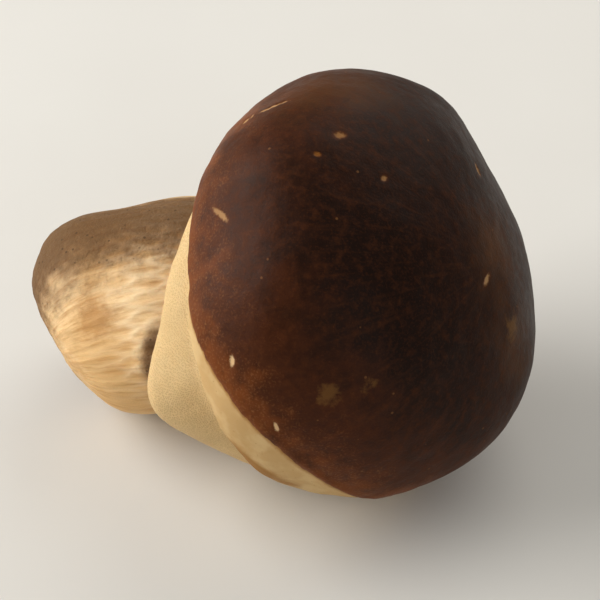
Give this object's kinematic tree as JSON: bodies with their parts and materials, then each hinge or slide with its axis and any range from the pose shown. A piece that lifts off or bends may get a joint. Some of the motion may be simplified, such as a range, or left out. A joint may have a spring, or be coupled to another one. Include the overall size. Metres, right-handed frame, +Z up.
{
  "type": "porcini mushroom",
  "caption": "Whole porcini mushroom lying on its side: round brown cap, bulging cream layer of tubes under it and thick netted stem, in one solid.",
  "frame": {"origin": "middle of the bounding box in X and Y, on the surface that the mushroom lies on", "axes": "+Z up; +X from the base of the stem to the cap, the long way of the mushroom as it lies"},
  "size_m": [0.0976, 0.0816, 0.0756],
  "materials": {
    "mushroom_flesh": "satin"
  },
  "bodies": {
    "root": {"fruit_body": "mushroom_flesh"}
  },
  "joints": []
}
